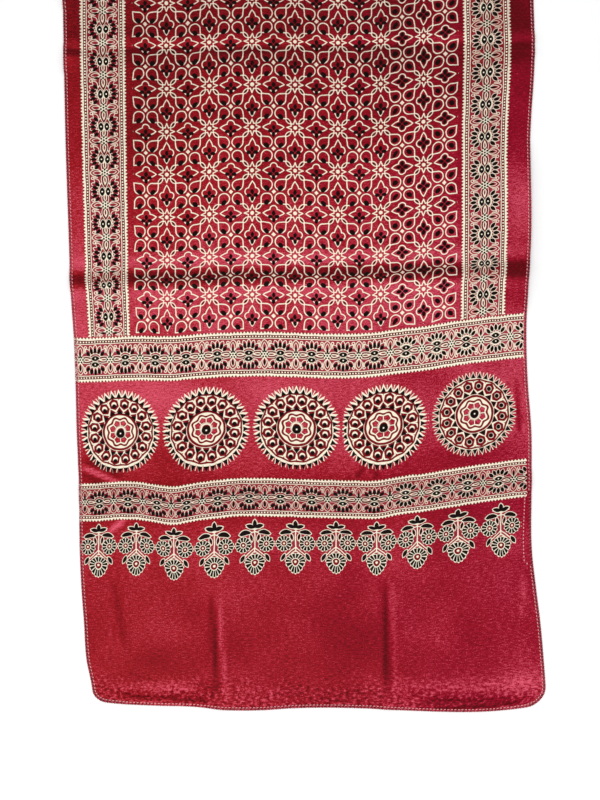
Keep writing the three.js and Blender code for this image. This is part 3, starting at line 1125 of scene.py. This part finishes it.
def silk_material(name, drawing, colours):
    """Make the material of one printed area: dyed satin with painted sheen and shade, and its drawing
    printed over it.
    """
    material, tree, shader = new_material(name)
    seen, painted_light = satin_ground(tree, colours)

    # Deep madder with painted sheen where the painted light is high
    def deep_madder():
        return mixed(tree, painted_light * DEEP_PAINTED_SHEEN, colours.deep_red, colours.lit_red)

    def undyed():
        # Cream dimmed towards deep madder in painted shade, and unevenly by its fibres
        shaded = worked_out("MULTIPLY_ADD", painted_light, -CREAM_SHADE_FALL, CREAM_SHADE, clamp=True)
        fibres = noise(tree, FIBRES, 1) * FIBRE_SHADE
        return mixed(tree, fibres + shaded, colours.cream, colours.deep_red)

    def brown_black():
        return mixed(tree, BROWN_SHARE, colours.black, colours.deep_red)

    layers = (
        ("deep", deep_madder),
        ("cream", undyed),
        ("deep_over", lambda: colours.deep_red),
        ("dark", brown_black),
        ("black", lambda: colours.black),
        ("dots", lambda: colours.cream),
    )
    shapes = drawing(*print_place(tree))
    for layer, ink in layers:
        if layer in shapes:
            seen = mixed(tree, inside(shapes[layer]), seen, ink())
    tree.links.new(seen, shader.inputs["Base Color"])
    rough = worked_out("MULTIPLY_ADD", painted_light, -ROUGHNESS_FALL, ROUGHNESS)
    tree.links.new(rough.socket, shader.inputs["Roughness"])
    shader.inputs["Specular IOR Level"].default_value = 0.06
    tree.links.new(weave_bump(tree), shader.inputs["Normal"])
    return material


def thread_material(name, thread_colour, dark):
    """Make a twisted thread's material, lighter and darker along its ply."""
    material, tree, shader = new_material(name)
    place = tree.nodes.new("ShaderNodeTexCoord")
    ply = tree.nodes.new("ShaderNodeTexNoise")
    ply.inputs["Scale"].default_value = PLY_SCALE
    ply.inputs["Detail"].default_value = 2
    tree.links.new(place.outputs["Object"], ply.inputs["Vector"])
    darker = Amount(tree, ply.outputs[0]) * 0.4
    tree.links.new(mixed(tree, darker, thread_colour, dark), shader.inputs["Base Color"])
    bump = tree.nodes.new("ShaderNodeBump")
    bump.inputs["Strength"].default_value = 0.3
    bump.inputs["Distance"].default_value = 0.0003
    tree.links.new(ply.outputs[0], bump.inputs["Height"])
    tree.links.new(bump.outputs["Normal"], shader.inputs["Normal"])
    shader.inputs["Roughness"].default_value = 0.5
    return material


def new_piece(name, vertices, faces, materials, smooth=True):
    """Make an object at the origin from vertices and lists of faces, with its materials."""
    mesh = bpy.data.meshes.new(name)
    mesh.from_pydata(vertices.tolist(), [], faces)
    for material in materials:
        mesh.materials.append(material)
    mesh.polygons.foreach_set("use_smooth", np.full(len(mesh.polygons), smooth))
    piece = bpy.data.objects.new(name, mesh)
    bpy.context.scene.collection.objects.link(piece)
    return piece


def area_of(u, v):
    """Return the printed area, as a material's place, at print place u across and v along."""
    from_end = np.minimum(v, LENGTH - v)
    field = AREA["field_print"]
    area = np.select(
        [from_end < SPRAY_ROW[0], from_end < LOWER_BORDER[0], from_end < MEDALLION_ROW[0],
         from_end < UPPER_BORDER[0], from_end < UPPER_BORDER[1]],
        [AREA["plain_end"], AREA["spray_print"], AREA["lower_border_print"],
         AREA["medallion_print"], AREA["upper_border_print"]], field)
    in_left = (u > LEFT_BORDER[0]) & (u < LEFT_BORDER[1])
    in_right = (u > RIGHT_BORDER[0]) & (u < RIGHT_BORDER[1])
    margin = (u < LEFT_BORDER[0]) | (u > RIGHT_BORDER[1])
    beside = np.select(
        [in_left, in_right, margin],
        [AREA["left_border_print"], AREA["right_border_print"], AREA["plain_end"]], field)
    return np.where(area == field, beside, area)


def centred(points):
    """Shift points so that the cloth's outline is centred over the origin."""
    middle = (points.max(0) + points.min(0)) / 2
    return points - np.array((middle[0], middle[1], 0))


def cloth_mesh_arrays():
    """Return the places of columns and rows, the points of both faces and their painted light."""
    columns, rows = grid_columns(), grid_rows()
    x, y, lift, bulk, along = cloth_points(*np.meshgrid(columns, rows))
    lower = centred(np.stack((x, y, lift + bulk / 2), -1).reshape(-1, 3))
    upper = lower + UP * (CLOTH_THICKNESS + bulk / 2).reshape(-1, 1)
    return columns, rows, upper, lower, painted_light_of(x, along)


def rim_loop(wide, tall):
    """Return the grid's border as one loop of places, the near edge first."""
    near = np.arange(wide - 1)
    right = np.arange(tall - 1) * wide + wide - 1
    far = np.arange(wide - 1, 0, -1) + (tall - 1) * wide
    left = np.arange(tall - 1, 0, -1) * wide
    return np.concatenate((near, right, far, left))


def sheet_faces(wide, tall):
    """Return the quads of the sheet's printed face, of its back and of the rim that joins them."""
    layer = wide * tall
    a = (np.arange(tall - 1)[:, None] * wide + np.arange(wide - 1)).ravel()
    face = np.stack((a, a + 1, a + wide + 1, a + wide), -1)
    back = np.stack((a, a + wide, a + wide + 1, a + 1), -1) + layer
    loop = rim_loop(wide, tall)
    following = np.roll(loop, -1)
    rim = np.stack((loop, loop + layer, following + layer, following), -1)
    return face, back, rim


class STOLE_OT_cloth(bpy.types.Operator):
    """Make the printed cloth as one closed sheet, creased and curled as it lies"""

    bl_idname = "stole.cloth"
    bl_label = "Lay the printed cloth"

    def execute(self, context):
        columns, rows, upper, lower, painted_light = cloth_mesh_arrays()
        face, back, rim = sheet_faces(len(columns), len(rows))
        colours = context.scene.stole_colours
        materials = [silk_material(name, drawing, colours) for name, drawing in PRINTED_AREAS]
        materials.append(cotton_material("cotton_back", colours))
        faces = np.concatenate((face, back, rim)).tolist()
        cloth = new_piece("printed_cloth", np.concatenate((upper, lower)), faces, materials)
        mesh = cloth.data

        middle_u = (columns[1:] + columns[:-1]) / 2
        middle_v = (rows[1:] + rows[:-1]) / 2
        slots = np.concatenate((
            area_of(*np.meshgrid(middle_u, middle_v)).ravel(),
            np.full(len(back), len(PRINTED_AREAS)),
            np.full(len(rim), AREA["plain_end"]),
        ))
        mesh.polygons.foreach_set("material_index", slots.astype(np.int32))
        # The painted sheen and shade, kept on the points for the materials to paint into the colour
        painted_light_points = mesh.attributes.new(PAINTED_LIGHT, "FLOAT", "POINT")
        painted_light_points.data.foreach_set("value", np.tile(painted_light.ravel(), 2).astype(np.float32))
        self.map_print(mesh, columns, rows)
        self.map_bake(mesh, len(columns), rows)
        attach(cloth, BODY)
        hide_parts(NODE)
        return {"FINISHED"}

    @staticmethod
    def map_print(mesh, columns, rows):
        """Give every corner its place in the print, in metres, folded over at mid length."""
        u, v = np.meshgrid(columns, rows)
        across = cloth_points(u, v)[0]
        v = np.minimum(v, LENGTH - v)
        squeezed = np.where(u < -PRINT_PIVOT, (across + PRINT_PIVOT) / left_stretch(v) - PRINT_PIVOT, u)
        corners = np.empty(len(mesh.loops), np.int32)
        mesh.loops.foreach_get("vertex_index", corners)
        corners %= u.size
        along = v.ravel()[corners]
        in_field = np.repeat(along.reshape(-1, 4).mean(1) > UPPER_BORDER[1], 4)
        place = np.stack((np.where(in_field, u.ravel()[corners], squeezed.ravel()[corners]), along), -1)
        layer = mesh.uv_layers.new(name=PRINT_MAP)
        layer.uv.foreach_set("vector", place.astype(np.float32).ravel())

    @staticmethod
    def map_bake(mesh, wide, rows):
        """Lay the printed face out in two wide columns, and the back and the rim in narrow strips."""
        def up_the_map(share):
            return BAKE_GAP + share * (1 - 2 * BAKE_GAP)

        tall = len(rows)
        near_rows = int(np.argmin(np.abs(rows - LENGTH / 2)))
        j, i = np.divmod(np.arange((wide - 1) * (tall - 1)), wide - 1)
        across = np.stack((i, i + 1, i + 1, i), -1) / (wide - 1)
        far = (j >= near_rows)[:, None]
        first = np.where(far, near_rows, 0)
        count = np.where(far, tall - 1 - near_rows, near_rows)
        face_up = (np.stack((j, j, j + 1, j + 1), -1) - first) / count
        face_across = BAKE_GAP + across * FACE_COLUMN + far * (FACE_COLUMN + BAKE_GAP)

        back_across = BACK_STRIP[0] + across[:, (0, 3, 2, 1)] * (BACK_STRIP[1] - BACK_STRIP[0])
        back_up = np.stack((j, j + 1, j + 1, j), -1) / (tall - 1)

        rim_count = 2 * (wide - 1) + 2 * (tall - 1)
        k = np.arange(rim_count)
        rim_up = np.stack((k, k, k + 1, k + 1), -1) / rim_count
        rim_across = np.tile((*RIM_STRIP, *reversed(RIM_STRIP)), (rim_count, 1))

        strips = ((face_across, face_up), (back_across, back_up), (rim_across, rim_up))
        places = [np.stack((side, up_the_map(up)), -1) for side, up in strips]
        layer = mesh.uv_layers.new(name=BAKE_MAP)
        layer.uv.foreach_set("vector", np.concatenate(places).astype(np.float32).ravel())


def edge_line(pitch):
    """Return places at a pitch along the cut edge's top, its underside's height, and along and outward."""
    columns, rows, upper, lower, _ = cloth_mesh_arrays()
    loop = rim_loop(len(columns), len(rows))
    top, bottom = upper[loop], lower[loop]
    closed = np.concatenate((top, top[:1]))
    steps = np.linalg.norm(np.diff(closed[:, :2], axis=0), axis=1)
    travelled = np.concatenate(((0,), np.cumsum(steps)))
    count = int(round(travelled[-1] / pitch))
    at = np.arange(count) * travelled[-1] / count
    top = np.stack([np.interp(at, travelled, np.append(top[:, k], top[0, k])) for k in range(3)], -1)
    low = np.interp(at, travelled, np.append(bottom[:, 2], bottom[0, 2]))
    along = np.roll(top, -1, 0) - np.roll(top, 1, 0)
    along /= np.linalg.norm(along, axis=1)[:, None]
    outward = np.stack((along[:, 1], -along[:, 0], along[:, 0] * 0), -1)
    outward /= np.linalg.norm(outward, axis=1)[:, None]
    return top, low, along, outward


def tubes(paths, radius, sides):
    """Sweep a thread along paths of equally many points. Returns vertices, quads and end caps."""
    count, points, _ = paths.shape
    ahead = np.gradient(paths, axis=1)
    ahead /= np.linalg.norm(ahead, axis=2)[..., None]
    across = np.cross(ahead, UP)
    across /= np.linalg.norm(across, axis=2)[..., None]
    normal = np.cross(across, ahead)
    turn = np.arange(sides) / sides * 2 * math.pi
    spokes = across[:, :, None] * np.cos(turn)[:, None] + normal[:, :, None] * np.sin(turn)[:, None]
    vertices = (paths[:, :, None] + spokes * radius).reshape(-1, 3)
    k, p, s = np.meshgrid(np.arange(count), np.arange(points - 1), np.arange(sides), indexing="ij")
    start = k * points * sides + p * sides
    here, following = start + s, start + (s + 1) % sides
    quads = np.stack((here, following, following + sides, here + sides), -1).reshape(-1, 4)
    first = np.arange(count) * points * sides
    last = first + (points - 1) * sides
    caps = []
    for a in range(1, sides - 1):
        caps.append(np.stack((first, first + a + 1, first + a), -1))
        caps.append(np.stack((last, last + a, last + a + 1), -1))
    return vertices, quads, np.concatenate(caps)


class STOLE_OT_edge_stitches(bpy.types.Operator):
    """Make the overlock stitches: dark thread wrapped over the cut edge and pale needle stitches"""

    bl_idname = "stole.edge_stitches"
    bl_label = "Overlock the edge"

    def execute(self, context):
        sizes, colours = context.scene.stole_sizes, context.scene.stole_colours
        context.view_layer.update()
        pieces = (
            self.wraps(sizes, [
                thread_material("loop_thread", colours.loop_thread, colours.shade_red),
                thread_material("pale_thread", colours.pale_thread, colours.ground_red),
            ]),
            self.needle_line(sizes, [
                thread_material("needle_thread", colours.needle_thread, colours.ground_red),
            ]),
        )
        for piece in pieces:
            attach(piece, BODY)
        return {"FINISHED"}

    def wraps(self, sizes, materials):
        """Two slanted wraps to each stitch, from the needle line over the edge and under it."""
        top, low, along, outward = edge_line(sizes.stitch_pitch / 2)
        r = sizes.thread_radius
        inset = sizes.stitch_inset
        slant = along * sizes.stitch_pitch * 0.45
        past_edge = top + outward * r * 1.1 + slant
        past_edge[:, 2] = (top[:, 2] + low) / 2
        underneath = top - outward * inset * 0.3 + slant
        underneath[:, 2] = np.maximum(low, r)
        paths = np.stack((
            top - outward * inset + UP * r * 0.4,
            top - outward * inset * 0.45 + slant * 0.5 + UP * r,
            top + outward * r * 0.6 + slant + UP * r * 0.2,
            past_edge,
            underneath,
        ), 1)
        vertices, quads, caps = tubes(paths, r, WRAP_SIDES)
        loops = new_piece("edge_loops", vertices, quads.tolist() + caps.tolist(), materials)
        wrap = np.concatenate((quads[:, 0], caps[:, 0])) // (paths.shape[1] * WRAP_SIDES)
        loops.data.polygons.foreach_set("material_index", (wrap % len(materials)).astype(np.int32))
        return loops

    @staticmethod
    def face_height(place):
        """Return how high the cloth's face lies at a place, looked for from just above it."""
        above = Vector(place + UP * 0.002)
        found, point, _, _ = bpy.data.objects["printed_cloth"].closest_point_on_mesh(above)
        if not found:
            raise RuntimeError("a stitch lies off the cloth")
        return point.z

    def needle_line(self, sizes, materials):
        """One short pale stitch to each pitch, lying on the face just inside the edge."""
        top, _, along, outward = edge_line(sizes.stitch_pitch)
        r = sizes.thread_radius * 1.6
        half = along * sizes.stitch_pitch * 0.20
        stray = np.interp(top[:, 1] + LENGTH / 2, NEEDLE_STRAY["along"], NEEDLE_STRAY["stray"])
        on_right = outward[:, 0] > 0.9
        seat = top - outward * (sizes.stitch_inset + stray * on_right)[:, None]
        seat[:, 2] = [self.face_height(place) for place in seat]
        steps = ((-1, -1), (-0.7, 0.5), (0, 0.9), (0.7, 0.5), (1, -1))
        paths = np.stack([seat + half * ahead + UP * r * rise for ahead, rise in steps], 1)
        vertices, quads, caps = tubes(paths, r, NEEDLE_SIDES)
        return new_piece("needle_stitches", vertices, quads.tolist() + caps.tolist(), materials)


class STOLE_OT_stage(bpy.types.Operator):
    """Make the pale floor, the soft lights and the camera over the near end"""

    bl_idname = "stole.stage"
    bl_label = "Set the stage"

    def execute(self, context):
        scene = context.scene
        sizes = scene.stole_sizes
        half = sizes.floor_size / 2
        corners = np.array(((-half, -half, 0), (half, -half, 0), (half, half, 0), (-half, half, 0)))
        new_piece("floor", corners, [(0, 1, 2, 3)], [self.floor_material()], smooth=False)
        self.light("key_softbox", (-0.2, -1.9, 1.9), (0, -0.55, 0), size=1.6, power=21)
        self.light("fill_softbox", (0.3, 1.6, 2.4), (0, -0.2, 0), size=2.4, power=17)
        self.light("side_softbox", (-2.2, -0.3, 1.5), (0, -0.3, 0), size=1.4, power=4)
        scene.world = bpy.data.worlds.new("studio")
        scene.world.use_nodes = True
        sky = scene.world.node_tree.nodes["Background"]
        sky.inputs["Color"].default_value = (1, 1, 1, 1)
        sky.inputs["Strength"].default_value = 0.60
        scene.view_settings.view_transform = "Standard"
        data = bpy.data.cameras.new("camera")
        data.lens = 50
        data.sensor_fit = "VERTICAL"
        data.sensor_height = 36
        scene.camera = bpy.data.objects.new("camera", data)
        scene.camera.location = (-0.005, -0.681, sizes.camera_height)
        scene.collection.objects.link(scene.camera)
        return {"FINISHED"}

    @staticmethod
    def floor_material():
        """Make the floor's material, near white and lit a little from itself."""
        material, _, shader = new_material("pale_floor")
        for socket, value in (
            ("Base Color", (0.985, 0.985, 0.985, 1)),
            ("Roughness", 0.9),
            ("Specular IOR Level", 0.1),
            ("Emission Color", (1, 1, 1, 1)),
            ("Emission Strength", 0.06),
        ):
            shader.inputs[socket].default_value = value
        return material

    @staticmethod
    def light(name, place, target, size, power):
        """Hang a square softbox at a place and aim it at a target."""
        data = bpy.data.lights.new(name, "AREA")
        data.size = size
        data.energy = power
        lamp = bpy.data.objects.new(name, data)
        bpy.context.scene.collection.objects.link(lamp)
        lamp.location = place
        lamp.rotation_euler = (Vector(target) - Vector(place)).to_track_quat("-Z", "Y").to_euler()


class STOLE_PT_panel(bpy.types.Panel):
    """Lists the pieces of the stole and their sizes and colours"""

    bl_idname = "STOLE_PT_panel"
    bl_label = "Mashru silk stole"
    bl_space_type = "VIEW_3D"
    bl_region_type = "UI"
    bl_category = "Stole"

    def draw(self, context):
        for operator in ("stole.cloth", "stole.edge_stitches", "stole.stage"):
            self.layout.operator(operator)
        for group in (context.scene.stole_sizes, context.scene.stole_colours):
            for name in group.bl_rna.properties.keys():
                if name not in ("rna_type", "name"):
                    self.layout.prop(group, name)


CLASSES = (StoleColours, StoleSizes, STOLE_OT_cloth, STOLE_OT_edge_stitches, STOLE_OT_stage, STOLE_PT_panel)


def register():
    for kind in CLASSES:
        bpy.utils.register_class(kind)
    bpy.types.Scene.stole_colours = bpy.props.PointerProperty(type=StoleColours)
    bpy.types.Scene.stole_sizes = bpy.props.PointerProperty(type=StoleSizes)


def unregister():
    del bpy.types.Scene.stole_sizes
    del bpy.types.Scene.stole_colours
    for kind in reversed(CLASSES):
        bpy.utils.unregister_class(kind)


def main():
    register()
    bpy.ops.object.select_all(action="DESELECT")
    bpy.ops.stole.cloth()
    bpy.ops.stole.edge_stitches()
    bpy.ops.stole.stage()


if __name__ == "__main__":
    main()
